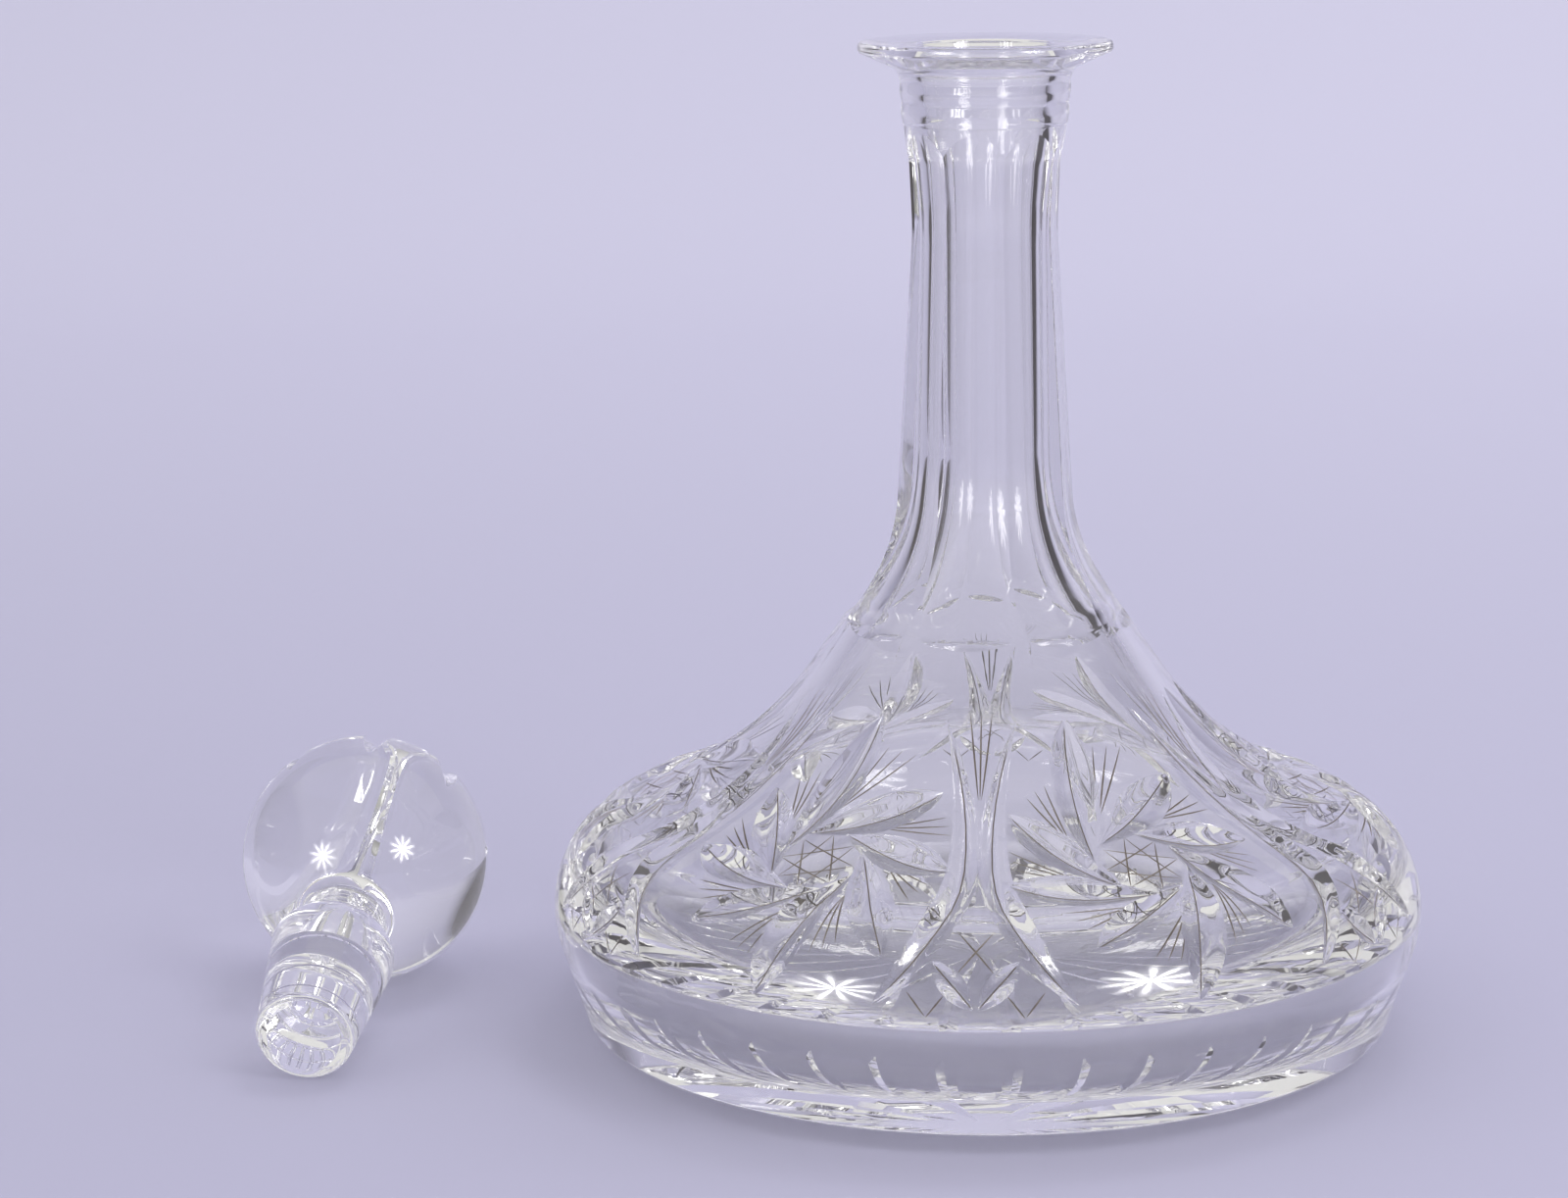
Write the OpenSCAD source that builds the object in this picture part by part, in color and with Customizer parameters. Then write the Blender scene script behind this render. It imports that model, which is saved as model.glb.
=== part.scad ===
// Ship's decanter of clear cut glass, with its ball stopper lying on the table beside it.
// The foot stands on z = 0 and the decanter's axis is the z axis. The front faces -y.

/* [Body] */
// Widest diameter of the body
body_diameter = 200; // [170:1:240]
// Height of the widest ring above the table
belly_height = 29.8; // [27:0.1:36]
// Radius of the round belly in section
belly_radius = 23.9; // [20:0.1:26]
// Diameter of the flat foot
foot_diameter = 158; // [120:1:170]
// Diameter at the top of the foot's bevel
bevel_diameter = 186.2; // [172:0.1:194]
// Height of the foot's bevel
bevel_height = 4.6; // [2:0.1:8]
// Slope of the shoulder from the level, in degrees
shoulder_slope = 17.9; // [12:0.1:26]
// Radius of the sweep from the shoulder up to the flare
sweep_radius = 84; // [70:1:96]
// Slope of the flare from the level, in degrees
flare_slope = 55.6; // [48:0.1:62]

/* [Neck] */
// Height from the table to the top of the lip
height = 226.4; // [200:0.1:260]
// Diameter of the neck at its waist, over the corners of the flutes
waist_diameter = 34; // [31:0.1:42]
// Distance of the waist below the top of the lip
waist_drop = 41.4; // [38:0.1:50]
// Taper of the neck below its waist, in degrees from upright
neck_taper = 3.5; // [1:0.1:6]
// Radius between the flare and the neck
neck_blend = 54; // [40:1:64]
// Radius at the waist
waist_blend = 150; // [80:1:200]
// Number of flutes round the neck
flute_count = 8; // [6:2:10]
// Depth of the flutes inside the round of the neck, at their corners
flute_bite = 0.3; // [0.1:0.05:0.8]
// Distance that the flutes run down the flare, measured upright
flute_run = 15; // [8:0.5:20]
// Turn of the flutes round the neck, in degrees
flute_turn = -8.5; // [-45:0.5:45]

/* [Lip] */
// Diameter of the lip
lip_diameter = 56.8; // [50:0.1:66]
// Thickness of the lip at its edge
lip_edge = 2.3; // [1.8:0.1:4]
// Slope of the lip's underside from the level, in degrees
lip_slope = 24; // [15:1:35]
// Radius under the lip
lip_blend = 3.4; // [1:0.1:4]
// Diameter of the collar at its lower end
collar_diameter = 36.8; // [36:0.1:44]
// Widening of the collar towards the lip, on the diameter
collar_flare = 2.4; // [0.5:0.1:4]
// Distance of the collar's lower end below the top of the lip
collar_drop = 18.4; // [14:0.1:24]

/* [Wall] */
// Thickness of the wall at the shoulder and the sweep
body_wall = 6; // [4.5:0.1:8]
// Thickness of the wall at the heel, above the foot
heel_wall = 13; // [11:0.1:16]
// Thickness of the glass under the hollow
floor_thickness = 9.5; // [8:0.1:14]
// Radius where the floor meets the wall inside
floor_blend = 34; // [20:0.5:36]
// Radius of the hollow where it is widest
hollow_round = 9; // [6:0.1:10]
// Bore of the neck
bore_diameter = 22.4; // [18:0.1:24]
// Radius inside between the flare and the bore
bore_blend = 58; // [40:1:66]

/* [Body cutting] */
// Number of pairs of pinwheels round the body
pinwheel_pairs = 3; // [2:1:3]
// Half the angle between the pinwheels of a pair, in degrees
pinwheel_spread = 28; // [26:0.5:30]
// Distance of a pinwheel's middle up the glass from the turn of the shoulder
pinwheel_rise = 9.6; // [8:0.1:11]
// Usual distance from a pinwheel's middle to the tip of a leaf
leaf_reach = 30; // [26:0.1:32]
// Distance from a pinwheel's middle to the inner end of a leaf
leaf_start = 10.2; // [9:0.1:12]
// Angle at the pinwheel's middle between the ends of a leaf, in degrees
leaf_sweep = 80; // [70:1:85]
// Depth of a leaf where it is deepest
leaf_depth = 2.3; // [1.5:0.1:2.5]
// Distance up the glass to the waist of the two arcs between pinwheels
arc_rise = 19.5; // [15:0.5:24]
// Distance up the glass from the waist of the arcs to their tops
arc_up = 31; // [24:0.5:32]
// Distance down the glass from the waist of the arcs to their feet
arc_down = 44.5; // [38:0.5:45]
// Distance of an arc from the line between the two, at its waist
arc_waist = 2.8; // [2:0.1:4]
// Spread of an arc away from its waist at the top
arc_top_spread = 4.7; // [2:0.1:7]
// Spread of an arc away from its waist at the foot
arc_foot_spread = 18.7; // [12:0.1:20]
// Depth of the arcs
arc_depth = 2.1; // [1.5:0.1:2.4]
// Half angle of the wheel that cuts the leaves and the arcs, in degrees
mitre_angle = 59; // [52:1:62]
// Turn of the cutting round the body, in degrees
cutting_turn = -1.2; // [-30:0.1:30]

/* [Star under the foot] */
// Number of rays in the star under the foot
star_rays = 32; // [16:2:36]
// Depth of the rays at the edge of the foot
star_depth = 1.6; // [0.5:0.1:2]
// Distance of the rays' points from the middle of the foot
star_start = 12; // [10:0.5:30]
// Half angle of the wheel that cuts the rays, in degrees
star_angle = 57; // [45:1:60]
// Turn of the star, in degrees
star_turn = 4.6; // [-30:0.1:30]

/* [Stopper] */
// Diameter of the ball
ball_diameter = 59.1; // [50:0.1:66]
// Diameter of the stem under the ball
stem_diameter = 19.6; // [14:0.1:24]
// Radius between the ball and the stem
stem_blend = 3; // [1:0.1:4]
// Diameter of the peg at its shoulder
peg_diameter = 29.2; // [28:0.1:32]
// Distance from the ball's middle to the peg's shoulder
peg_start = 45; // [42:0.1:52]
// Height of the round of the peg's shoulder
peg_round = 4; // [2:0.1:4.5]
// Length of the peg from its shoulder to its end
peg_length = 36; // [28:0.1:38]
// Radius round the peg's end
peg_end_round = 1.6; // [0.8:0.1:3]
// Taper of the peg and of its socket, in degrees from the axis
peg_taper = 5.7; // [4:0.1:6]
// Clearance between the peg and its socket
fit_clearance = 0.1; // [0.05:0.01:0.3]
// Depth of the peg's shoulder below the lip when it is in
seat_depth = 3; // [1:0.1:6]
// Number of rays cut round the top of the ball
ball_rays = 9; // [6:1:12]
// Angle from the ball's top to the outer end of a ray, in degrees
ray_reach = 74; // [50:1:78]
// Angle from the ball's top to the inner end of a ray, in degrees
ray_start = 10; // [6:0.5:14]
// Half angle of a ray's groove, in degrees
ray_angle = 42; // [30:1:50]

/* [Place of the stopper] */
// Gap between the body and the ball on the table
stopper_gap = 23; // [5:0.5:80]
// Bearing of the ball from the decanter's axis, in degrees
stopper_bearing = 169; // [90:0.5:270]
// Direction in which the peg points, in degrees
stopper_heading = -91.4; // [-180:0.1:180]
// Turn of the stopper about its own axis, in degrees
stopper_roll = 6; // [-40:1:40]

/* [Hidden] */
$fn = 144;
GLASS = [0.86, 0.87, 0.92, 0.45];
// How far a cutter stands out of what it cuts
CUT_LIFT = 2;
// Radius on the small turned edges
EDGE_ROUND = 1;

// A direction in the plane, a unit vector, and the point where two lines cross
function heading(a) = [cos(a), sin(a)];
function unit(v) = v / norm(v);
function crossing(p, a, q, b) =
    p + heading(a) * ((q.x - p.x) * sin(b) - (q.y - p.y) * cos(b)) / sin(b - a);

// A rounded corner: where the round starts, the corner, where it ends, its centre, its radius and its turn
function fillet(p, c, q, r) =
    let (u = unit(p - c), v = unit(q - c), half = acos(u * v) / 2)
    [c + u * r / tan(half), c, c + v * r / tan(half), c + unit(u + v) * r / sin(half), r,
        (c.x - p.x) * (q.y - c.y) - (c.y - p.y) * (q.x - c.x)];

// The outline's corners with each round replaced by its chord, and points that coincide dropped
function chords(list) = [for (i = list) each len(i) == 1 ? [i[0]] : [i[0], i[2]]];
function distinct(points) =
    [for (i = [0:len(points) - 1]) if (i == 0 || norm(points[i] - points[i - 1]) > 0.001) points[i]];

// A section with straight sides and true rounds
module section(list) {
    rounds = [for (i = list) if (len(i) > 1) i];
    difference() {
        union() {
            polygon(distinct(chords(list)));
            for (k = rounds) if (k[5] > 0) sector(k);
        }
        for (k = rounds) if (k[5] < 0) sector(k);
    }
}

module sector(k) {
    intersection() {
        translate(k[3]) circle(r = k[4]);
        polygon([k[0], k[1], k[2], k[3]]);
    }
}

// Outside of the decanter in section, from the foot up to the lip
BODY_R = body_diameter / 2;
BELLY = [BODY_R - belly_radius, belly_height];
FOOT_R = foot_diameter / 2;
BEVEL = [bevel_diameter / 2, bevel_height];
SIDE_ANGLE = atan2(BELLY.y - BEVEL.y, BELLY.x - BEVEL.x)
    - asin(belly_radius / norm(BELLY - BEVEL));
SHOULDER_ANGLE = 180 - shoulder_slope;
FLARE_ANGLE = 180 - flare_slope;
SHOULDER_NORMAL = 90 - shoulder_slope;
FLARE_NORMAL = 90 - flare_slope;
TURN = BELLY + belly_radius * heading(SHOULDER_NORMAL);
SWEEP = BELLY + (belly_radius + sweep_radius) * heading(SHOULDER_NORMAL);
SWEEP_END = SWEEP - sweep_radius * heading(FLARE_NORMAL);
WAIST = [waist_diameter / 2, height - waist_drop];
COLLAR_Z = height - collar_drop;
COLLAR_R = collar_diameter / 2;
LIP_R = lip_diameter / 2;
BELLY_CORNER = crossing(BEVEL, SIDE_ANGLE, TURN, SHOULDER_ANGLE);
SWEEP_CORNER = crossing(TURN, SHOULDER_ANGLE, SWEEP_END, FLARE_ANGLE);
NECK_FOOT = crossing(SWEEP_END, FLARE_ANGLE, WAIST, 90 + neck_taper);
NECK_TOP = [COLLAR_R - flute_bite, COLLAR_Z];
LIP_UNDER = [LIP_R, height - lip_edge];
COLLAR_TOP_R = COLLAR_R + collar_flare / 2;
LIP_CORNER = [COLLAR_TOP_R, LIP_UNDER.y - (LIP_R - COLLAR_TOP_R) * tan(lip_slope)];
LIP_TOP = [LIP_R, height];

// The hollow in section, inside the body by its two walls' thicknesses
HOLLOW_SIDE = BEVEL + heel_wall * heading(SIDE_ANGLE + 90);
HOLLOW_TURN = BELLY + (belly_radius - body_wall) * heading(SHOULDER_NORMAL);
HOLLOW_SWEEP_END = SWEEP - (sweep_radius + body_wall) * heading(FLARE_NORMAL);
BORE_R = bore_diameter / 2;
FLOOR_CORNER = crossing([0, floor_thickness], 0, HOLLOW_SIDE, SIDE_ANGLE);
HOLLOW_CORNER = crossing(HOLLOW_SIDE, SIDE_ANGLE, HOLLOW_TURN, SHOULDER_ANGLE);
HOLLOW_SWEEP = crossing(HOLLOW_TURN, SHOULDER_ANGLE, HOLLOW_SWEEP_END, FLARE_ANGLE);
BORE_FOOT = crossing(HOLLOW_SWEEP_END, FLARE_ANGLE, [BORE_R, 0], 90);

// The socket takes the peg's taper, with the clearance between them
PEG_R = peg_diameter / 2;
MOUTH_R = PEG_R + fit_clearance + seat_depth * tan(peg_taper);
SOCKET_FOOT = [BORE_R, height - (MOUTH_R - BORE_R) / tan(peg_taper)];
MOUTH = [MOUTH_R, height];
MOUTH_OUT = MOUTH + [tan(peg_taper), 1] * CUT_LIFT;

// Two opposite flats of the neck, a little inside its round
// They run out on the flare and, from a little lower, at the collar
FLUTE_TOP_RUN = 7;
FLAT = cos(180 / flute_count);
FLUTE_WAIST = [(WAIST.x - flute_bite) * FLAT, WAIST.y];
FLUTE_FOOT = [(NECK_FOOT.x - flute_bite) * FLAT, NECK_FOOT.y];
FLUTE_OUT = NECK_FOOT - [flute_run / tan(FLARE_ANGLE), flute_run];
FLUTE_TOP = [NECK_TOP.x, NECK_TOP.y - EDGE_ROUND];
FLUTE_NECK_Z = COLLAR_Z - FLUTE_TOP_RUN;
FLUTE_NECK = [(WAIST.x + (NECK_TOP.x - WAIST.x) * (FLUTE_NECK_Z - WAIST.y) / (NECK_TOP.y - WAIST.y) - flute_bite)
    * FLAT, FLUTE_NECK_Z];

// Points along a rounded corner, so that a flat follows it in short straight steps
function arc_points(k, n) =
    let (a = atan2(k[0].y - k[3].y, k[0].x - k[3].x), b = atan2(k[2].y - k[3].y, k[2].x - k[3].x),
        d = b - a > 180 ? b - a - 360 : b - a < -180 ? b - a + 360 : b - a)
    [for (i = [0:n]) k[3] + k[4] * heading(a + d * i / n)];

module flats() {
    far = BODY_R + 10;
    low = FLUTE_OUT + unit(FLUTE_OUT - FLUTE_FOOT) * CUT_LIFT * 3;
    top = FLUTE_TOP + unit(FLUTE_TOP - FLUTE_NECK) * CUT_LIFT;
    right = concat([[far, -10], [far, low.y], low],
        arc_points(fillet(FLUTE_OUT, FLUTE_FOOT, FLUTE_WAIST, neck_blend), 6),
        arc_points(fillet(FLUTE_FOOT, FLUTE_WAIST, FLUTE_NECK, waist_blend / 2), 2),
        [FLUTE_NECK, top, [far, top.y], [far, height + 10]]);
    left = [for (i = [len(right) - 1:-1:0]) [-right[i].x, right[i].y]];
    rotate([90, 0, 0])
        linear_extrude(height = far * 2, center = true)
        polygon(concat(right, left));
}

// One ray of the star under the foot: a mitre cut that deepens to the edge and runs out through the bevel
module star_ray() {
    long = FOOT_R + bevel_height - star_start;
    tall = star_depth + CUT_LIFT;
    translate([star_start, 0, 0])
        rotate([0, -atan2(star_depth, FOOT_R - star_start), 0])
        rotate([90, 0, 90])
        linear_extrude(height = long)
        polygon([[0, 0], [-tall * tan(star_angle), -tall], [tall * tan(star_angle), -tall]]);
}

// The glass in section by distance up it from the turn of the shoulder: its slope and its place
function tilt_at(rise) = SHOULDER_NORMAL + (rise < 0 ? rise / belly_radius : -rise / sweep_radius) * 180 / PI;
function glass_at(rise) =
    rise < 0 ? BELLY + belly_radius * heading(tilt_at(rise)) : SWEEP - sweep_radius * heading(tilt_at(rise));

// A place below the glass, and the way out of it there, from a point [across, up] about a middle bearing
function round_axis(p, bearing) = [p.x * sin(bearing), -p.x * cos(bearing), p.y];
function bearing_of(middle, p) = middle + p.x / glass_at(p.y).x * 180 / PI;
function below(middle, p, depth) =
    round_axis(glass_at(p.y) - depth * heading(tilt_at(p.y)), bearing_of(middle, p));
function outward(middle, p) = round_axis(heading(tilt_at(p.y)), bearing_of(middle, p));

// A straight mitre cut between two points, with its depth at each and how far it runs on past each
module mitre(middle, p, q, depth_p, depth_q, run_p, run_q) {
    a = below(middle, p, depth_p);
    b = below(middle, q, depth_q);
    x = unit(b - a);
    out = outward(middle, (p + q) / 2);
    z = unit(out - x * (out * x));
    y = cross(z, x);
    c = a - x * run_p;
    tall = max(depth_p, depth_q) + CUT_LIFT;
    multmatrix([[x.x, y.x, z.x, c.x], [x.y, y.y, z.y, c.y], [x.z, y.z, z.z, c.z], [0, 0, 0, 1]])
        rotate([90, 0, 90])
        linear_extrude(height = norm(b - a) + run_p + run_q)
        polygon([[0, 0], [tall * tan(mitre_angle), tall], [-tall * tan(mitre_angle), tall]]);
}

// How far a straight run goes on past a cut's end, past a leaf's deepest place and, for an arc, short of the next
END_RUN = 5;
JOIN_RUN = 1.2;
LAND_RUN = -1;

// Tips of the eight leaves of a pinwheel: distance from its middle in usual reaches, and angle
LEAF_TIPS = [[1, 1], [1, 49], [1.37, 91], [0.93, 142], [1.03, 188], [1.02, 231], [1.17, 275], [1.25, 318]];
// A leaf is cut in two straight runs from its deepest place: where they are told off, and their depth there
LEAF_STOPS = [0.12, 0.55, 0.88];
LEAF_SHARES = [0.3, 1, 0.56];
PINWHEELS = [for (k = [0:pinwheel_pairs - 1]) for (side = [-1, 1])
    cutting_turn + k * 360 / pinwheel_pairs + side * pinwheel_spread];
function spot(reach, angle) = [0, pinwheel_rise] + reach * heading(angle);
function along_leaf(tip, u) =
    spot(leaf_start, tip.y + leaf_sweep) * (1 - u) + spot(leaf_reach * tip.x, tip.y) * u;

module leaf_halves(first, half) {
    for (middle = PINWHEELS, k = [first:2:7])
        mitre(middle, along_leaf(LEAF_TIPS[k], LEAF_STOPS[half]), along_leaf(LEAF_TIPS[k], LEAF_STOPS[half + 1]),
            leaf_depth * LEAF_SHARES[half], leaf_depth * LEAF_SHARES[half + 1],
            half == 0 ? END_RUN : JOIN_RUN, half == 0 ? JOIN_RUN : END_RUN);
}

// Two arcs stand back to back on each line between pinwheels
// Each is cut in straight runs from its top to its foot, and none crosses the turn of the shoulder
ARC_STOPS = [0.9, 0.28, -0.12, -0.44, -0.7, -0.95];
ARC_SHARES = [0.4, 1, 1, 1, 0.9, 0.5];
DIVIDERS = [for (k = [0:2 * pinwheel_pairs - 1]) cutting_turn + k * 180 / pinwheel_pairs];
function arc_point(side, u) =
    u > 0 ? [side * (arc_waist + arc_top_spread * pow(u, 2)), arc_rise + arc_up * u]
    : [side * (arc_waist + arc_foot_spread * pow(-u, 2.4)), arc_rise + arc_down * u];

module arc_runs(side) {
    last = len(ARC_STOPS) - 2;
    for (middle = DIVIDERS, i = [0:last])
        mitre(middle, arc_point(side, ARC_STOPS[i]), arc_point(side, ARC_STOPS[i + 1]),
            arc_depth * ARC_SHARES[i], arc_depth * ARC_SHARES[i + 1],
            i == 0 ? END_RUN : LAND_RUN, i == last ? END_RUN : LAND_RUN);
}

// The outside of the decanter, turned and then cut flat up the neck
module blank() {
    intersection() {
        rotate_extrude()
            section([[[0, 0]], [[FOOT_R, 0]], fillet([FOOT_R, 0], BEVEL, BELLY_CORNER, EDGE_ROUND),
                fillet(BEVEL, BELLY_CORNER, SWEEP_CORNER, belly_radius),
                fillet(BELLY_CORNER, SWEEP_CORNER, NECK_FOOT, sweep_radius),
                fillet(SWEEP_CORNER, NECK_FOOT, WAIST, neck_blend),
                fillet(NECK_FOOT, WAIST, NECK_TOP, waist_blend),
                [NECK_TOP], [[COLLAR_R, COLLAR_Z]],
                fillet([COLLAR_R, COLLAR_Z], LIP_CORNER, LIP_UNDER, lip_blend),
                fillet(LIP_CORNER, LIP_UNDER, LIP_TOP, EDGE_ROUND),
                fillet(LIP_UNDER, LIP_TOP, [0, height], EDGE_ROUND), [[0, height]]]);
        intersection_for (i = [0:flute_count / 2 - 1])
            rotate([0, 0, flute_turn - 90 + i * 360 / flute_count]) flats();
    }
}

// The body's cuts are made in turns, so that no two cuts of one turn meet
CUT_TURNS = 6;
module cut_body(turn) {
    if (turn == 0) blank();
    else difference() {
        cut_body(turn - 1);
        if (turn <= 4) leaf_halves(turn % 2, turn <= 2 ? 0 : 1);
        else arc_runs(turn == 5 ? -1 : 1);
    }
}

module decanter() {
    color(GLASS)
    difference() {
        cut_body(CUT_TURNS);
        rotate_extrude()
            section([[[0, floor_thickness]],
                fillet([0, floor_thickness], FLOOR_CORNER, HOLLOW_CORNER, floor_blend),
                fillet(FLOOR_CORNER, HOLLOW_CORNER, HOLLOW_SWEEP, hollow_round),
                fillet(HOLLOW_CORNER, HOLLOW_SWEEP, BORE_FOOT, sweep_radius + body_wall),
                fillet(HOLLOW_SWEEP, BORE_FOOT, SOCKET_FOOT, bore_blend),
                [SOCKET_FOOT], [MOUTH_OUT], [[0, MOUTH_OUT.y]]]);
        for (i = [0:star_rays - 1])
            rotate([0, 0, star_turn + i * 360 / star_rays]) star_ray();
    }
}

// Stopper upright about its ball's middle, peg down: in section the peg's end comes first
BALL_R = ball_diameter / 2;
STEM_R = stem_diameter / 2;
PEG_END_Z = -(peg_start + peg_length);
PEG_END_R = PEG_R - peg_length * tan(peg_taper);
BALL_FOOT_Z = -sqrt(pow(BALL_R + stem_blend, 2) - pow(STEM_R + stem_blend, 2));
module stopper_section() {
    section([[[0, PEG_END_Z]],
        fillet([0, PEG_END_Z], [PEG_END_R, PEG_END_Z], [PEG_R, -peg_start], peg_end_round),
        fillet([PEG_END_R, PEG_END_Z], [PEG_R, -peg_start], [STEM_R, -peg_start + peg_round], peg_round / 2),
        fillet([PEG_R, -peg_start], [STEM_R, -peg_start + peg_round], [STEM_R, BALL_FOOT_Z], stem_blend / 2),
        [[STEM_R, BALL_FOOT_Z]], [[0, BALL_FOOT_Z]]]);
    difference() {
        polygon([[0, BALL_FOOT_Z], [STEM_R, BALL_FOOT_Z], [STEM_R + stem_blend, BALL_FOOT_Z],
            BALL_R * unit([STEM_R + stem_blend, BALL_FOOT_Z]), [0, 0]]);
        translate([STEM_R + stem_blend, BALL_FOOT_Z]) circle(r = stem_blend);
    }
    intersection() {
        circle(r = BALL_R);
        translate([0, -BALL_R]) square([BALL_R, ball_diameter]);
    }
}

// One straight mitre groove across the top of the ball
module ball_ray() {
    a = BALL_R * [sin(ray_start), 0, cos(ray_start)];
    b = BALL_R * [sin(ray_reach), 0, cos(ray_reach)];
    x = unit(b - a);
    z = cross(x, [0, 1, 0]);
    c = (a + b) / 2;
    tall = BALL_R - norm(c) + CUT_LIFT;
    multmatrix([[x.x, 0, z.x, c.x], [x.y, 1, z.y, c.y], [x.z, 0, z.z, c.z], [0, 0, 0, 1]])
        rotate([90, 0, 90])
        linear_extrude(height = norm(b - a) + 2 * CUT_LIFT, center = true)
        polygon([[0, 0], [tall * tan(ray_angle), tall], [-tall * tan(ray_angle), tall]]);
}

module stopper_upright() {
    difference() {
        rotate_extrude() stopper_section();
        for (i = [0:ball_rays - 1]) rotate([0, 0, i * 360 / ball_rays]) ball_ray();
    }
}

// Lying down, the ball and the round of the peg's end both touch the table
END_ROUND = fillet([0, PEG_END_Z], [PEG_END_R, PEG_END_Z], [PEG_R, -peg_start], peg_end_round)[3];
LIE = asin((BALL_R - peg_end_round) / norm(END_ROUND)) - atan2(END_ROUND.x, -END_ROUND.y);
STOPPER_OUT = BODY_R + stopper_gap + BALL_R;
module stopper() {
    color(GLASS)
    translate([STOPPER_OUT * cos(stopper_bearing), STOPPER_OUT * sin(stopper_bearing), BALL_R])
        rotate([0, 0, stopper_heading])
        rotate([0, LIE - 90, 0])
        rotate([0, 0, stopper_roll])
        stopper_upright();
}

decanter();
stopper();
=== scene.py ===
import math

import bpy
from mathutils import Matrix, Vector


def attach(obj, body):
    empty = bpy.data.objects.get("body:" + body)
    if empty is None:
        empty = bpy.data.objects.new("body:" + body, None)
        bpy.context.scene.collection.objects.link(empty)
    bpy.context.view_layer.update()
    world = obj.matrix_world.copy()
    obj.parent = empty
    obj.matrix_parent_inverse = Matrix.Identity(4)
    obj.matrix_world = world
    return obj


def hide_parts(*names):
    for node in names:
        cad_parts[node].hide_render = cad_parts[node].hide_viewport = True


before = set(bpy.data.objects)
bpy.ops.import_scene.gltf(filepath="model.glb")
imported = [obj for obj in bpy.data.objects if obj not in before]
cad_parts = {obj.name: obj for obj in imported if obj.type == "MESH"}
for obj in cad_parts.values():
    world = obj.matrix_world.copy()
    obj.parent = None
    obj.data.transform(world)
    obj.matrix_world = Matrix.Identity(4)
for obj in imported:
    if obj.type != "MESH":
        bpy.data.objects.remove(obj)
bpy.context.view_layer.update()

# View
# The camera stands about 0.9 m away, a little above the lip, and looks down on the body.
# Its place, turn and lens come from the outlines of the decanter and the stopper.
MM = 0.001
IMAGE_WIDTH_PX = 1600
FOCAL_PX = 3854
SENSOR_MM = 36
CAMERA_PLACE = Vector((0, -845.3, 281.4)) * MM
LOOK_DOWN = math.radians(12.107)
LOOK_LEFT = math.radians(3.12)
CAMERA_ROLL = math.radians(-0.673)
NEAREST_SEEN = 0.05
FARTHEST_SEEN = 60

forward = Vector((-math.sin(LOOK_LEFT) * math.cos(LOOK_DOWN), math.cos(LOOK_LEFT) * math.cos(LOOK_DOWN),
                  -math.sin(LOOK_DOWN)))
level = Vector((math.cos(LOOK_LEFT), math.sin(LOOK_LEFT), 0))
upright = level.cross(forward)
right = level * math.cos(CAMERA_ROLL) + upright * math.sin(CAMERA_ROLL)
above = upright * math.cos(CAMERA_ROLL) - level * math.sin(CAMERA_ROLL)
bpy.ops.object.select_all(action="DESELECT")
bpy.ops.object.camera_add()
camera = bpy.context.object
camera.name = "view"
camera.matrix_world = Matrix((right, above, -forward)).transposed().to_4x4()
camera.location = CAMERA_PLACE
camera.data.sensor_fit = "HORIZONTAL"
camera.data.sensor_width = SENSOR_MM
camera.data.lens = FOCAL_PX / IMAGE_WIDTH_PX * SENSOR_MM
camera.data.clip_start = NEAREST_SEEN
camera.data.clip_end = FARTHEST_SEEN
bpy.context.scene.camera = camera
bpy.context.scene.view_settings.view_transform = "Standard"

# Lead crystal
# Clear glass with lead in it, cut and then polished in acid: bright, colourless and a little rippled.
# Fine lines are left as the wheel ground them, and they and the bottoms of mitres are painted grey-brown,
# partly as dust and partly as painted shade.
CRYSTAL_IOR = 1.54
RIPPLE = 9 * MM
DUST_PATCH = 3 * MM


def linear(colour):
    """An sRGB hex colour as linear light."""
    parts = [int(colour[i:i + 2], 16) / 255 for i in (1, 3, 5)]
    return [p / 12.92 if p <= 0.04045 else ((p + 0.055) / 1.055) ** 2.4 for p in parts] + [1]


def add_node(tree, kind, settings=(), inputs=(), links=()):
    """Adds a node: its settings, its inputs' values, and links from other nodes' outputs to its inputs."""
    node = tree.nodes.new(kind)
    for name, value in dict(settings).items():
        setattr(node, name, value)
    for name, value in dict(inputs).items():
        node.inputs[name].default_value = value
    for name, (other, output) in dict(links).items():
        tree.links.new(other.outputs[output], node.inputs[name])
    return node


crystal = bpy.data.materials.new("lead_crystal_polished")
crystal.use_nodes = True
tree = crystal.node_tree
glass = tree.nodes["Principled BSDF"]
glass.inputs["Base Color"].default_value = linear("#FBFBFA")
glass.inputs["Roughness"].default_value = 0.0
glass.inputs["IOR"].default_value = CRYSTAL_IOR
glass.inputs["Transmission Weight"].default_value = 1
# Acid leaves slow ripples about 9 mm across, which waver the reflections a little
place = add_node(tree, "ShaderNodeTexCoord")
ripple = add_node(tree, "ShaderNodeTexNoise", inputs={"Scale": 1 / RIPPLE, "Detail": 1},
                  links={"Vector": (place, "Object")})
bump = add_node(tree, "ShaderNodeBump", inputs={"Strength": 0.05, "Distance": 0.2 * MM},
                links={"Height": (ripple, "Fac")})
tree.links.new(bump.outputs["Normal"], glass.inputs["Normal"])

# Painted shade: a dark grey-brown finish, partly dust, for the fine lines and the bottoms of mitres
ground = bpy.data.materials.new("lead_crystal_ground_dust_and_shade")
ground.use_nodes = True
tree = ground.node_tree
grey = tree.nodes["Principled BSDF"]
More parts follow.
